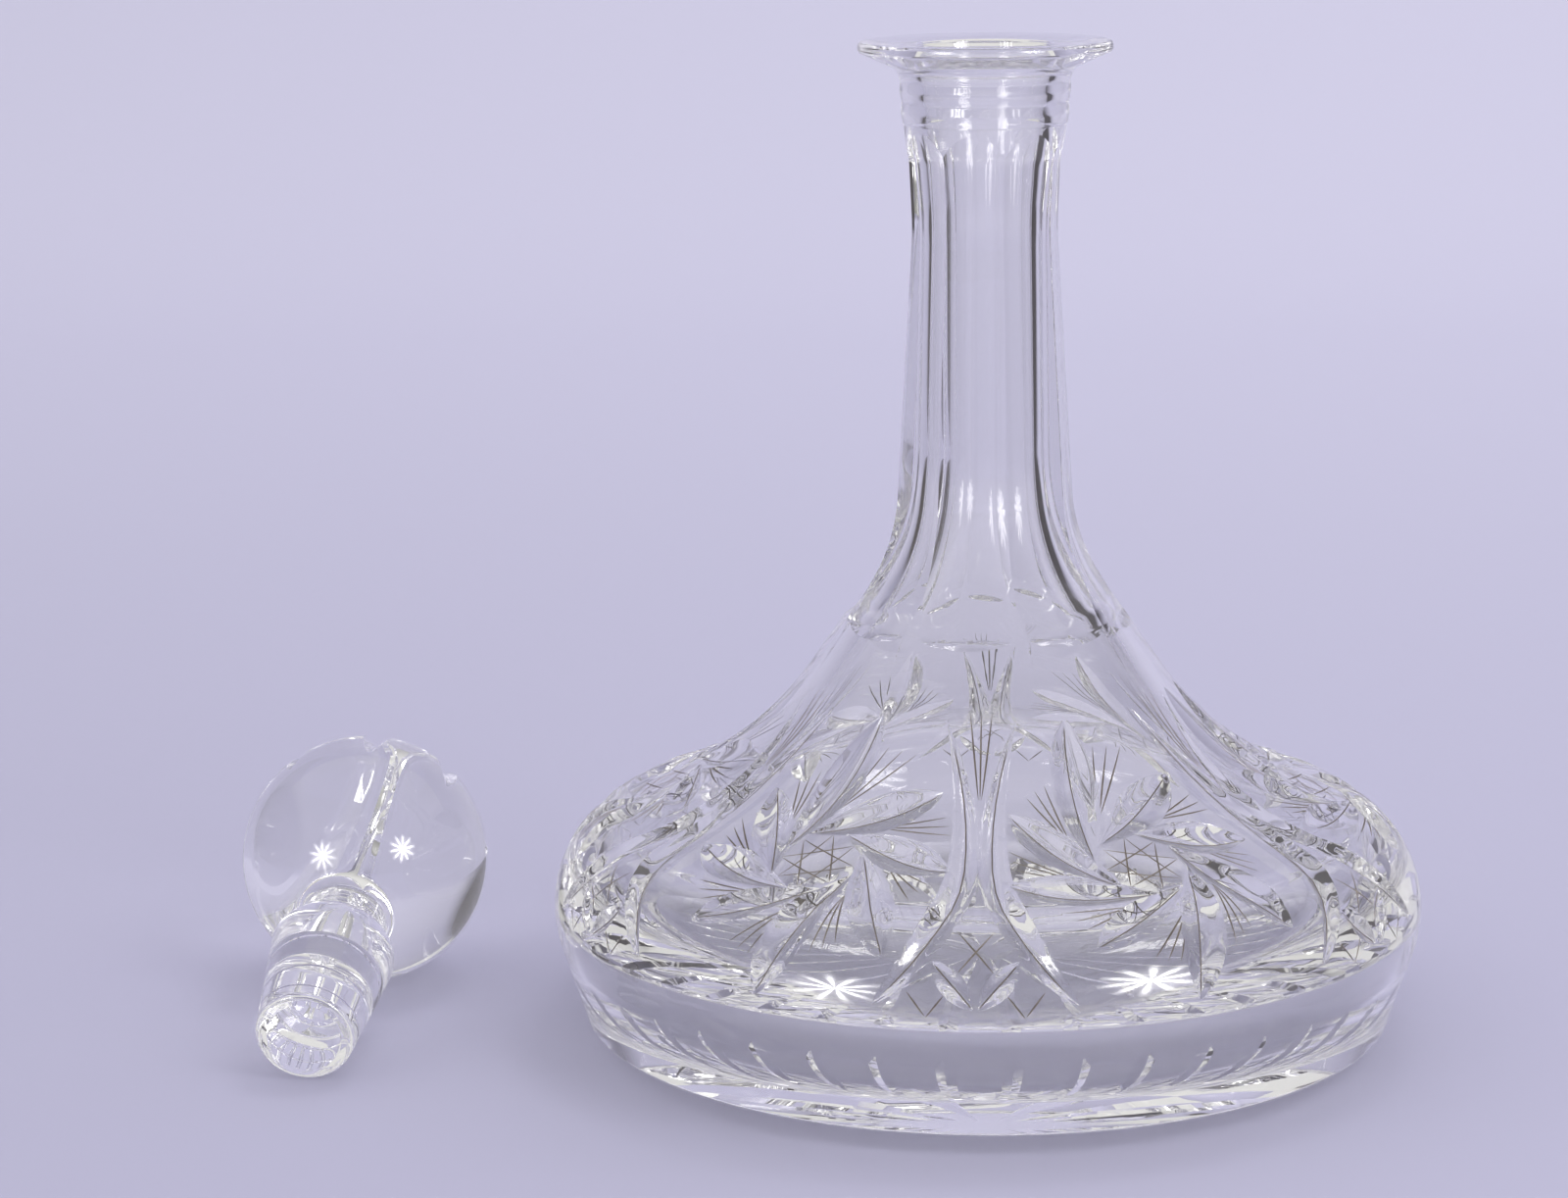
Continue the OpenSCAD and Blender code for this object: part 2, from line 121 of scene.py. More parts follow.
# Ground lines show as thin grey-brown strokes, dust and painted shade together, thick and thin in patches
# about 3 mm long
place = add_node(tree, "ShaderNodeTexCoord")
patches = add_node(tree, "ShaderNodeTexNoise", inputs={"Scale": 1 / DUST_PATCH, "Detail": 2},
                   links={"Vector": (place, "Object")})
dust_and_shade = add_node(tree, "ShaderNodeMix", settings={"data_type": "RGBA"},
                links={"Factor": (patches, "Fac")})
dust_and_shade.inputs["A"].default_value = linear("#4A4035")
dust_and_shade.inputs["B"].default_value = linear("#8A7F71")
tree.links.new(dust_and_shade.outputs["Result"], grey.inputs["Base Color"])
grey.inputs["Roughness"].default_value = 0.5
grey.inputs["IOR"].default_value = CRYSTAL_IOR
grey.inputs["Transmission Weight"].default_value = 0.35

# Decanter blank
# One thick bubble of clear lead crystal, blown broad and flat with a long neck, and given a turned-out lip.
# It is turned here from one closed section: up the outside, over the lip and down the hollow to its floor.
# Sizes are in millimetres and degrees, and places in the section are distances out and up.
BELLY = Vector((76.1, 29.8))
BELLY_R = 23.9
SWEEP_R = 84
SHOULDER_SLOPE = 17.9
FLARE_SLOPE = 55.6
NECK_TAPER = 3.5
NECK_BLEND = 54
FOOT_R = 79
FOOT_EDGE_R = 0.5
FOOT_RINGS = (12, 45)
BEVEL = Vector((93.1, 4.6))
BEVEL_R = 1.2
WAIST = Vector((17, 185))
WAIST_BLEND = 150
NECK_TOP = Vector((18.1, 208))
COLLAR_FOOT = Vector((18.4, 208.3))
COLLAR_FOOT_R = 0.6
COLLAR_RINGS = ((18.8, 210.6), (18.6, 213), (19.1, 215.4), (19, 217.6))
COLLAR_RING_R = 3
LIP_CORNER = Vector((19.6, 220.2))
LIP_BLEND = 2.6
LIP_UNDER = Vector((28.4, 224.1))
LIP_TOP = Vector((28.4, 226.4))
LIP_EDGE_R = 1
MOUTH_R = 15
MOUTH_DROP = 0.6
MOUTH_EDGE_R = 0.9
BORE_R = 11.2
BORE_BLEND = 58
PEG_TAPER = 5.7
SOCKET_BLEND = 60
WALL = 6
HEEL_WALL = 13
HOLLOW_ROUND = 9
HOLLOW_BLEND = 34
FLOOR_Z = 9.5
BLANK_STEPS = 256
# Finishes of the cuts: polished, and ground and painted grey-brown as dust and painted shade
POLISHED = 0
DUST_AND_SHADE_FINISH = 1


def heading(degrees):
    """A step of length 1 at an angle from straight out."""
    return Vector((math.cos(math.radians(degrees)), math.sin(math.radians(degrees))))


def crossing(p, a, q, b):
    """Where the line through p at angle a meets the line through q at angle b."""
    across = (q.x - p.x) * heading(b).y - (q.y - p.y) * heading(b).x
    return p + heading(a) * across / math.sin(math.radians(b - a))


def outline(corners):
    """Points along a line of corners (point, radius, number of steps round it)."""
    points = []
    for i, (corner, radius, steps) in enumerate(corners):
        if not radius:
            points.append(corner)
            continue
        before = (corners[i - 1][0] - corner).normalized()
        after = (corners[i + 1][0] - corner).normalized()
        half = before.angle(after) / 2
        middle = corner + (before + after).normalized() * radius / math.sin(half)
        start = corner + before * radius / math.tan(half) - middle
        end = corner + after * radius / math.tan(half) - middle
        turn = start.angle_signed(end)
        for k in range(steps + 1):
            a = -turn * k / steps
            spoke = Vector((start.x * math.cos(a) - start.y * math.sin(a),
                            start.x * math.sin(a) + start.y * math.cos(a)))
            if not points or (middle + spoke - points[-1]).length > 0.01:
                points.append(middle + spoke)
    return points


def select_edges(piece, wanted):
    """Selects the edges for which wanted is true, and leaves the piece in edit mode."""
    bpy.ops.object.mode_set(mode="EDIT")
    bpy.ops.mesh.select_mode(type="EDGE")
    bpy.ops.mesh.select_all(action="DESELECT")
    bpy.ops.object.mode_set(mode="OBJECT")
    for edge in piece.data.edges:
        edge.select = wanted(edge)
    bpy.ops.object.mode_set(mode="EDIT")


def turned(name, section, steps):
    """A closed body of revolution from a section that starts and ends on the axis."""
    bpy.ops.object.select_all(action="DESELECT")
    bpy.ops.mesh.primitive_circle_add(vertices=len(section), radius=0.1)
    piece = bpy.context.object
    piece.name = name
    piece.data.name = name
    for vertex, place in zip(piece.data.vertices, section):
        vertex.co = (place.x * MM, 0, place.y * MM)
    on_axis = [v.co.x < 1e-6 for v in piece.data.vertices]
    select_edges(piece, lambda e: on_axis[e.vertices[0]] and on_axis[e.vertices[1]])
    bpy.ops.mesh.delete(type="EDGE")
    bpy.ops.mesh.select_all(action="SELECT")
    bpy.ops.mesh.spin(steps=steps, angle=math.tau, center=(0, 0, 0), axis=(0, 0, 1))
    bpy.ops.mesh.select_all(action="SELECT")
    bpy.ops.mesh.remove_doubles(threshold=2e-6)
    bpy.ops.mesh.normals_make_consistent(inside=False)
    bpy.ops.object.mode_set(mode="OBJECT")
    return piece


to_bevel = BELLY - BEVEL
side_angle = math.degrees(math.atan2(to_bevel.y, to_bevel.x) - math.asin(BELLY_R / to_bevel.length))
shoulder_angle = 180 - SHOULDER_SLOPE
flare_angle = 180 - FLARE_SLOPE
turn_place = BELLY + heading(90 - SHOULDER_SLOPE) * BELLY_R
sweep_middle = BELLY + heading(90 - SHOULDER_SLOPE) * (BELLY_R + SWEEP_R)
sweep_end = sweep_middle - heading(90 - FLARE_SLOPE) * SWEEP_R
belly_corner = crossing(BEVEL, side_angle, turn_place, shoulder_angle)
sweep_corner = crossing(turn_place, shoulder_angle, sweep_end, flare_angle)
neck_foot = crossing(sweep_end, flare_angle, WAIST, 90 + NECK_TAPER)

hollow_side = BEVEL + heading(side_angle + 90) * HEEL_WALL
hollow_turn = BELLY + heading(90 - SHOULDER_SLOPE) * (BELLY_R - WALL)
hollow_sweep_end = sweep_middle - heading(90 - FLARE_SLOPE) * (SWEEP_R + WALL)
floor_corner = crossing(Vector((0, FLOOR_Z)), 0, hollow_side, side_angle)
hollow_corner = crossing(hollow_side, side_angle, hollow_turn, shoulder_angle)
hollow_sweep = crossing(hollow_turn, shoulder_angle, hollow_sweep_end, flare_angle)
bore_foot = crossing(hollow_sweep_end, flare_angle, Vector((BORE_R, 0)), 90)
socket_foot = Vector((BORE_R, LIP_TOP.y - (MOUTH_R - BORE_R) / math.tan(math.radians(PEG_TAPER))))

section = outline([
    (Vector((0, 0)), 0, 0), *[(Vector((radius, 0)), 0, 0) for radius in FOOT_RINGS],
    (Vector((FOOT_R, 0)), FOOT_EDGE_R, 3), (BEVEL, BEVEL_R, 4),
    (belly_corner, BELLY_R, 38), (sweep_corner, SWEEP_R, 34),
    (neck_foot, NECK_BLEND, 14), (WAIST, WAIST_BLEND, 6), (NECK_TOP, 0, 0),
    (COLLAR_FOOT, COLLAR_FOOT_R, 3), *[(Vector(ring), COLLAR_RING_R, 4) for ring in COLLAR_RINGS],
    (LIP_CORNER, LIP_BLEND, 8), (LIP_UNDER, LIP_EDGE_R, 4), (LIP_TOP, LIP_EDGE_R, 5),
    (Vector((MOUTH_R, LIP_TOP.y - MOUTH_DROP)), MOUTH_EDGE_R, 5),
    (socket_foot, SOCKET_BLEND, 6), (bore_foot, BORE_BLEND, 12),
    (hollow_sweep, SWEEP_R + WALL, 19), (hollow_corner, HOLLOW_ROUND, 16), (floor_corner, HOLLOW_BLEND, 24),
    (Vector((0, FLOOR_Z)), 0, 0)])
decanter = turned("decanter_glass", section, BLANK_STEPS)
decanter.data.materials.append(crystal)
decanter.data.materials.append(ground)

# Cuts
# Wheels cut the blank: flats up the neck, mitre leaves and fine lines on the body, and a star beneath.
# Each cut is a bar laid along its line, its bottom as deep as the wheel went, and taken away.
# Acid has softened the broad mitres to smooth hollows, and the finest lines stay sharp.
STATIONS = 18
# A bar stands this far proud of the glass, and its pointed ends lie just above it
LIFT = 0.8
END_LIFT = 0.02
# A cutter's section, as shares of its half width across and of its depth down
SHARP = ((-1, 0), (0, 1), (1, 0))
SOFT_STEPS = 5
BELL_SHARE = 0.75
SOFT = [(k / SOFT_STEPS, BELL_SHARE / 2 * (1 + math.cos(math.pi * k / SOFT_STEPS))
         + (1 - BELL_SHARE) * (1 - abs(k) / SOFT_STEPS)) for k in range(-SOFT_STEPS, SOFT_STEPS + 1)]
RIM_WIDER = 1.2


def new_bar(name, sides):
    """A bar in STATIONS lengths, with each vertex's place along it and round it."""
    bpy.ops.object.select_all(action="DESELECT")
    bpy.ops.mesh.primitive_cylinder_add(vertices=sides, radius=1, depth=1)
    piece = bpy.context.object
    piece.name = name
    ends = [v.co.z > 0 for v in piece.data.vertices]
    select_edges(piece, lambda e: ends[e.vertices[0]] != ends[e.vertices[1]])
    bpy.ops.mesh.subdivide(number_cuts=STATIONS - 1)
    bpy.ops.object.mode_set(mode="OBJECT")
    rows = [(round((v.co.z + 0.5) * STATIONS), round(math.atan2(v.co.x, v.co.y) / math.tau * sides) % sides)
            for v in piece.data.vertices]
    return piece, rows


# The soft bar has two more corners, above the glass
bars = {len(SHARP): new_bar("cutting_bar", len(SHARP)), len(SOFT): new_bar("cutting_bar", len(SOFT) + 2)}


def groove(places, normals, depths, half_angle, shape=SHARP):
    """A copy of a bar laid along places on the glass, in millimetres, its bottom at the given depths."""
    bar, rows = bars[len(shape)]
    mesh = bar.data.copy()
    flare = math.tan(math.radians(half_angle))
    rings = []
    for i in range(STATIONS + 1):
        along = (places[min(i + 1, STATIONS)] - places[max(i - 1, 0)]).normalized()
        side = normals[i].cross(along).normalized()
        rim = places[i] + normals[i] * LIFT
        if shape is SHARP:
            tall = max(depths[i], 0) + LIFT
            bottom = places[i] - normals[i] * depths[i]
            rings.append([rim - side * tall * flare, bottom, rim + side * tall * flare])
            continue
        wide = max(depths[i], END_LIFT) * flare
        ring = [places[i] + side * wide * x - normals[i] * depths[i] * down for x, down in shape]
        rings.append(ring + [rim + side * wide * RIM_WIDER, rim - side * wide * RIM_WIDER])
    for vertex, (row, corner) in zip(mesh.vertices, rows):
        vertex.co = rings[row][corner] * MM
    cutter = bpy.data.objects.new("cutter", mesh)
    bpy.context.collection.objects.link(cutter)
    return cutter


def cut(piece, cutters, finish=POLISHED):
    """Takes cutters that don't meet one another away from a piece, and gives the cuts a finish."""
    bpy.ops.object.select_all(action="DESELECT")
    for cutter in cutters:
        cutter.select_set(True)
    bpy.context.view_layer.objects.active = cutters[0]
    if len(cutters) > 1:
        bpy.ops.object.join()
    tool = bpy.context.object
    tool.data.materials.clear()
    for material in piece.data.materials:
        tool.data.materials.append(material)
    for face in tool.data.polygons:
        face.material_index = finish
    bpy.ops.object.mode_set(mode="EDIT")
    bpy.ops.mesh.select_all(action="SELECT")
    bpy.ops.mesh.normals_make_consistent(inside=False)
    bpy.ops.object.mode_set(mode="OBJECT")
    bpy.ops.object.select_all(action="DESELECT")
    bpy.context.view_layer.objects.active = piece
    piece.select_set(True)
    boolean = piece.modifiers.new("cut", "BOOLEAN")
    boolean.operation = "DIFFERENCE"
    boolean.solver = "MANIFOLD"
    boolean.material_mode = "TRANSFER"
    boolean.object = tool
    bpy.ops.object.modifier_apply(modifier=boolean.name)
    bpy.data.objects.remove(tool)


# Neck flats
# Eight flats run up the neck from scallops on the flare to scallops under the collar.
# A flat slab shaped to the neck's line is taken away on each of the eight sides.
FLUTES = 8
FLUTE_TURN = -8.5
FLUTE_BITE = 0.3
FLUTE_RUN = 15
FLUTE_END_BITE = 1.4
FLUTE_END_R = 6
FLUTE_FOOT_R = 44
FLUTE_WAIST_R = 75
FLUTE_NECK = Vector((17.75, 201))
FLUTE_NECK_R = 12
FLUTE_TOP = Vector((18.1, 207))
# The slab leaves the glass at its lower end by so much along the flare and so much outwards
LEAVE_ALONG = 7
LEAVE_OUT = 2.4
LEAVE_TOP = 2
SLAB_OUT = 60
HALF_WIDTH = 13.5
flat = math.cos(math.pi / FLUTES)
flute_out = neck_foot - Vector((FLUTE_RUN / math.tan(math.radians(flare_angle)), FLUTE_RUN))
flute_foot = Vector(((neck_foot.x - FLUTE_BITE) * flat, neck_foot.y))
flute_waist = Vector(((WAIST.x - FLUTE_BITE) * flat, WAIST.y))
flute_neck = Vector(((FLUTE_NECK.x - FLUTE_BITE) * flat, FLUTE_NECK.y))
down_flare = -heading(flare_angle)
out_of_flare = heading(90 - FLARE_SLOPE)
flute_end = flute_out - out_of_flare * FLUTE_END_BITE
low = flute_out + down_flare * LEAVE_ALONG + out_of_flare * LEAVE_OUT
top = FLUTE_TOP + (FLUTE_TOP - flute_neck).normalized() * LEAVE_TOP
side_line = outline([
    (Vector((SLAB_OUT, low.y)), 0, 0), (low, 0, 0), (flute_end, FLUTE_END_R, 5),
    (flute_foot, FLUTE_FOOT_R, 16), (flute_waist, FLUTE_WAIST_R, 6), (flute_neck, FLUTE_NECK_R, 5),
    (top, 0, 0), (Vector((SLAB_OUT, top.y)), 0, 0)])


def flat_cutter(turn):
    """A slab whose inner side follows the neck's line, turned round the axis."""
    bpy.ops.object.select_all(action="DESELECT")
    bpy.ops.mesh.primitive_circle_add(vertices=len(side_line), radius=0.1)
    slab = bpy.context.object
    for vertex, place in zip(slab.data.vertices, side_line):
        vertex.co = (place.x * MM, -HALF_WIDTH * MM, place.y * MM)
    bpy.ops.object.mode_set(mode="EDIT")
    bpy.ops.mesh.select_all(action="SELECT")
    bpy.ops.mesh.edge_face_add()
    bpy.ops.mesh.extrude_region_move(TRANSFORM_OT_translate={"value": (0, 2 * HALF_WIDTH * MM, 0)})
    bpy.ops.object.mode_set(mode="OBJECT")
    slab.data.transform(Matrix.Rotation(math.radians(turn), 4, "Z"))
    return slab


# Neighbouring slabs meet, so every other one is taken away at a time
for first in (0, 1):
    sides = [FLUTE_TURN - 90 + (first + 2 * k) * 360 / FLUTES for k in range(FLUTES // 2)]
    cut(decanter, [flat_cutter(turn) for turn in sides])

# Body cutting
# Six pinwheels of eight swirling mitre leaves, each round a fine star of eight points with fans of lines.
# Two long arcs stand back to back between pinwheels, with a fan above and a crossed chevron below.
# Lines are laid out on the glass by distances across and up from a middle bearing.
DIVIDER_TURN = -1.2
PINWHEEL_SPREAD = 28
PINWHEEL_RISE = 9.6
LEAF_START = 10.2
LEAF_SWEEP = 80
LEAF_DEPTH = 2.3
LEAF_USUAL_REACH = 31
LEAF_ANGLE = 66.5
LEAF_LEAN = 1.3
LEAF_FULLNESS = 0.75
LEAF_TIPS = ((30, 2), (30, 51), (41, 93), (29, 142), (32, 186), (31, 228), (36, 270), (37, 317))
# Dust and painted shade lie along the bottom of a mitre between these shares of its length
DUST_AND_SHADE_FROM = 0.1
DUST_AND_SHADE_TO = 0.95
DUST_AND_SHADE_DEPTH = 0.13
DUST_AND_SHADE_ANGLE = 40


def glass_at(rise):
    """Place and outward normal in the section, by distance up the glass from the shoulder's turn."""
    tilt = math.radians(90 - SHOULDER_SLOPE) + (rise / BELLY_R if rise < 0 else -rise / SWEEP_R)
    normal = Vector((math.cos(tilt), math.sin(tilt)))
    place = BELLY + normal * BELLY_R if rise < 0 else sweep_middle - normal * SWEEP_R
    return place, normal


def on_glass(bearing, rise):
    """Place and outward normal on the body, by bearing from the front and distance up the glass."""
    place, normal = glass_at(rise)
    a = math.radians(bearing)
    out = Vector((math.sin(a), -math.cos(a), 0))
    up = Vector((0, 0, 1))
    return out * place.x + up * place.y, out * normal.x + up * normal.y


def mitre(middle, line, depth, half_angle, lean=1, fullness=1, deeper=0, shape=SHARP):
    """A cut along a line on the glass, given as its two ends or as a function of u from 0 to 1.

    It is deepest half way, or nearer the far end where lean is over 1, and blunter where fullness is
    under 1.
    """
    places, normals, depths = [], [], []
    for i in range(STATIONS + 1):
        u = (1 - math.cos(math.pi * i / STATIONS)) / 2
        spot = line(u) if callable(line) else line[0].lerp(line[1], u)
        bearing = middle + math.degrees(spot.x / glass_at(spot.y)[0].x)
        place, normal = on_glass(bearing, spot.y)
        places.append(place)
        normals.append(normal)
        share = max(math.sin(math.pi * u ** lean), 0) ** fullness
        depths.append(depth * share + (deeper if DUST_AND_SHADE_FROM < u < DUST_AND_SHADE_TO else 0) - END_LIFT)
    return groove(places, normals, depths, half_angle, shape)


def from_middle(distance, angle):
    return heading(angle) * distance + Vector((0, PINWHEEL_RISE))


def leaf(middle, reach, angle, half_angle, deeper, shape):
    ends_of_leaf = [from_middle(LEAF_START, angle + LEAF_SWEEP), from_middle(reach, angle)]
    depth = LEAF_DEPTH * math.sqrt(reach / LEAF_USUAL_REACH)
    return mitre(middle, ends_of_leaf, depth, half_angle, LEAF_LEAN, LEAF_FULLNESS, deeper, shape)


pinwheels = [DIVIDER_TURN + 120 * k + side * PINWHEEL_SPREAD for k in range(3) for side in (-1, 1)]
dividers = [DIVIDER_TURN + 60 * k for k in range(6)]
for odd in (0, 1):
    tips = LEAF_TIPS[odd::2]
    cut(decanter, [leaf(middle, *tip, LEAF_ANGLE, 0, SOFT) for middle in pinwheels for tip in tips])
    # A sharp line along each leaf's bottom carries the dust and painted shade
    cut(decanter, [leaf(middle, *tip, DUST_AND_SHADE_ANGLE, DUST_AND_SHADE_DEPTH, SHARP)
                   for middle in pinwheels for tip in tips], DUST_AND_SHADE_FINISH)

ARC_WAIST = Vector((2.8, 19.5))
ARC_UP = Vector((4.7, 31))
ARC_DOWN = Vector((18.7, 44.5))
ARC_FOOT_CURVE = 2.4
ARC_DEPTH = 2.1
ARC_ANGLE = 63
ARC_LEAN = 1.5
ARC_FULLNESS = 0.55
CHEVRON = ((9.2, -15.5), (0.6, -25.5))
CHEVRON_DEPTH = 1.6
CHEVRON_FULLNESS = 0.75


def arc(side, u):
    """A long arc from its top to its foot, nearest the line between the two at its waist."""
    v = 1 - u * (ARC_UP.y + ARC_DOWN.y) / ARC_UP.y
    if v > 0:
        return Vector((side * (ARC_WAIST.x + ARC_UP.x * v ** 2), ARC_WAIST.y + ARC_UP.y * v))
    w = -v * ARC_UP.y / ARC_DOWN.y
    return Vector((side * (ARC_WAIST.x + ARC_DOWN.x * w ** ARC_FOOT_CURVE), ARC_WAIST.y - ARC_DOWN.y * w))


for side in (-1, 1):
    chevron = [Vector((side * x, y)) for x, y in CHEVRON]
    for half_angle, deeper, shape, finish in ((ARC_ANGLE, 0, SOFT, POLISHED),
                                              (DUST_AND_SHADE_ANGLE, DUST_AND_SHADE_DEPTH, SHARP, DUST_AND_SHADE_FINISH)):
        cut(decanter, [mitre(middle, lambda u: arc(side, u), ARC_DEPTH, half_angle, ARC_LEAN, ARC_FULLNESS,
                             deeper, shape) for middle in dividers], finish)
        cut(decanter, [mitre(middle, chevron, CHEVRON_DEPTH, half_angle, 1, CHEVRON_FULLNESS, deeper, shape)
                       for middle in dividers], finish)

FINE_DEPTH = 0.19
FINE_ANGLE = 50
FINE_FULLNESS = 0.5
FINE_STAR_R = 9
FINE_STAR_TURN = 2
FINE_STAR_STRIDE = 135
FAN_START = 15.5
FAN_START_TURN = 52
FAN_REACH = 28
FAN_TURN = 29
FAN_SPREAD = 6
# The fan beyond this leaf is longer than the rest
LONG_FAN_LEAF = 51
LONG_FAN_MORE = 6
# Lines between pinwheels: the fan above the arcs, the cross over the chevron and two checks beside it
TOP_FAN_LINE = ((0.3, 31), (2.4, 53))
CROSS_LINE = ((4, -8.5), (-4.2, -18.5))
INNER_CHECK = ((6.5, -22.5), (10.5, -27.5))
OUTER_CHECK = ((14.5, -22), (10.5, -27.2))


def fine_lines(middles, lines):
    """Fine ground lines, each a pair of points, about each of some middle bearings. None of them meet."""
    cut(decanter, [mitre(middle, [Vector(a), Vector(b)], FINE_DEPTH, FINE_ANGLE, 1, FINE_FULLNESS)
                   for middle in middles for a, b in lines], DUST_AND_SHADE_FINISH)


def leaning(line, lean):
    """A line's two points with their distances across times lean."""
    return [(lean * x, y) for x, y in line]


for point in range(8):
    angle = 45 * point + FINE_STAR_TURN
    fine_lines(pinwheels, [(from_middle(FINE_STAR_R, angle),
                            from_middle(FINE_STAR_R, angle + FINE_STAR_STRIDE))])
for spread in (-FAN_SPREAD, 0, FAN_SPREAD):
    fine_lines(pinwheels, [(from_middle(FAN_START, angle + FAN_START_TURN),
                            from_middle(FAN_REACH + (LONG_FAN_MORE if angle == LONG_FAN_LEAF else 0),
                                        angle + FAN_TURN + spread)) for reach, angle in LEAF_TIPS])
for lean in (-1, 0, 1):
    fine_lines(dividers, [leaning(TOP_FAN_LINE, lean)])
for lean in (-1, 1):
    fine_lines(dividers, [leaning(CROSS_LINE, lean), leaning(INNER_CHECK, lean)])
    fine_lines(dividers, [leaning(OUTER_CHECK, lean)])

# Star under the foot
# A wheel cuts straight mitre rays into the flat foot, and acid polishes them with the rest.
# They deepen from near the middle to the edge, where they break through the bevel.
STAR_RAYS = 32
STAR_TURN = 4.6
STAR_START = 12
STAR_OVERRUN = 4
STAR_DEPTH = 1.6
STAR_ANGLE = 57
DECANTER_CREASE = 16


def star_ray(turn):
    a = math.radians(turn)
    out = Vector((math.cos(a), math.sin(a), 0))
    down = Vector((0, 0, -1))
    reach = FOOT_R + STAR_OVERRUN - STAR_START
    places = [out * (STAR_START + reach * i / STATIONS) for i in range(STATIONS + 1)]
    depths = [STAR_DEPTH * reach / (FOOT_R - STAR_START) * i / STATIONS - END_LIFT
              for i in range(STATIONS + 1)]
    return groove(places, [down] * (STATIONS + 1), depths, STAR_ANGLE)


cut(decanter, [star_ray(STAR_TURN + k * 360 / STAR_RAYS) for k in range(STAR_RAYS)])
bpy.ops.object.select_all(action="DESELECT")
bpy.context.view_layer.objects.active = decanter
decanter.select_set(True)
bpy.ops.object.shade_smooth_by_angle(angle=math.radians(DECANTER_CREASE))
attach(decanter, "decanter")
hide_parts("decanter")

# Stopper
# A solid ball of the same glass on a short stem, with rays cut round its top and a peg that fits the neck.
# It is turned upright about the ball's middle and cut.
# Then it is laid on the table, on its ball and the peg's end.
BALL_R = 29.55
BALL_STEPS = 90
STEM_R = 9.8
STEM_BLEND = 3
BLEND_STEPS = 6
PEG_R = 14.6
PEG_START = 45
PEG_LENGTH = 36
PEG_ROUND = 4
PEG_END_ROUND = 1.6
PEG_RINGS = (58.7, 69.8)
RING_DEPTH = 0.22
RING_HALF_WIDTH = 0.3
DISH_DEPTH = 1.6
DISH_R = 8.4
DISH_STEPS = 6
STOPPER_STEPS = 192
STOPPER_CREASE = 12
peg_end = Vector((PEG_R - PEG_LENGTH * math.tan(math.radians(PEG_TAPER)), -PEG_START - PEG_LENGTH))
blend_z = -math.sqrt((BALL_R + STEM_BLEND) ** 2 - (STEM_R + STEM_BLEND) ** 2)
blend_middle = Vector((STEM_R + STEM_BLEND, blend_z))
ball_foot = blend_middle * (BALL_R / (BALL_R + STEM_BLEND))
foot_turn = math.degrees(math.atan2(ball_foot.y, ball_foot.x))
blend_turn = 180 + foot_turn
dish = [(Vector((DISH_R * k / DISH_STEPS, peg_end.y + DISH_DEPTH * (1 - (k / DISH_STEPS) ** 2))), 0, 0)
        for k in range(DISH_STEPS + 1)]
rings = []
for down in reversed(PEG_RINGS):
    for offset, bite in ((RING_HALF_WIDTH, 0), (0, RING_DEPTH), (-RING_HALF_WIDTH, 0)):
        low = down + offset
        taper = (low - PEG_START) * math.tan(math.radians(PEG_TAPER))
        rings.append((Vector((PEG_R - taper - bite, -low)), 0, 0))
section = outline([
    *dish, (peg_end, PEG_END_ROUND, 8), *rings, (Vector((PEG_R, -PEG_START)), PEG_ROUND / 2, 8),
    (Vector((STEM_R, -PEG_START + PEG_ROUND)), STEM_BLEND / 2, 6), (Vector((STEM_R, blend_z)), 0, 0)])
for k in range(1, BLEND_STEPS + 1):
    section.append(blend_middle + heading(180 - (180 - blend_turn) * k / BLEND_STEPS) * STEM_BLEND)
for k in range(1, BALL_STEPS + 1):
    section.append(heading(foot_turn + (90 - foot_turn) * k / BALL_STEPS) * BALL_R)
section[-1] = Vector((0, BALL_R))
stopper = turned("stopper_glass", section, STOPPER_STEPS)

BALL_RAYS = 9
RAY_DEPTH = 2.9
RAY_ANGLE = 53
RAY_START = 12
RAY_REACH = 92
RAY_LEAN = 1.2
RAY_FULLNESS = 0.55


def ball_ray(turn):
    """A soft mitre down the ball, between two angles from its top."""
    across = Vector((math.cos(math.radians(turn)), math.sin(math.radians(turn)), 0))
    normals, depths = [], []
    for i in range(STATIONS + 1):
        u = (1 - math.cos(math.pi * i / STATIONS)) / 2
        slope = heading(90 - RAY_START - (RAY_REACH - RAY_START) * u)
        normals.append(across * slope.x + Vector((0, 0, slope.y)))
        depths.append(RAY_DEPTH * max(math.sin(math.pi * u ** RAY_LEAN), 0) ** RAY_FULLNESS - END_LIFT)
    return groove([n * BALL_R for n in normals], normals, depths, RAY_ANGLE, SOFT)


stopper.data.materials.append(crystal)
cut(stopper, [ball_ray(k * 360 / BALL_RAYS) for k in range(BALL_RAYS)])

STOPPER_BEARING = 169
STOPPER_GAP = 23
STOPPER_HEADING = -91.4
STOPPER_ROLL = 6
end_slope = math.radians(90 + PEG_TAPER) / 2
end_middle = peg_end + Vector((-PEG_END_ROUND / math.tan(end_slope), PEG_END_ROUND))
lie = math.asin((BALL_R - PEG_END_ROUND) / end_middle.length) - math.atan2(end_middle.x, -end_middle.y)
out = heading(STOPPER_BEARING) * (BELLY.x + BELLY_R + STOPPER_GAP + BALL_R)
stopper.data.transform(Matrix.Translation(Vector((out.x, out.y, BALL_R)) * MM)
                       @ Matrix.Rotation(math.radians(STOPPER_HEADING), 4, "Z")
                       @ Matrix.Rotation(lie - math.pi / 2, 4, "Y")
                       @ Matrix.Rotation(math.radians(STOPPER_ROLL), 4, "Z"))
bpy.ops.object.select_all(action="DESELECT")
bpy.context.view_layer.objects.active = stopper
stopper.select_set(True)
bpy.ops.object.shade_smooth_by_angle(angle=math.radians(STOPPER_CREASE))
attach(stopper, "stopper")
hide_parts("stopper")
for bar, rows in bars.values():
    bpy.data.objects.remove(bar)
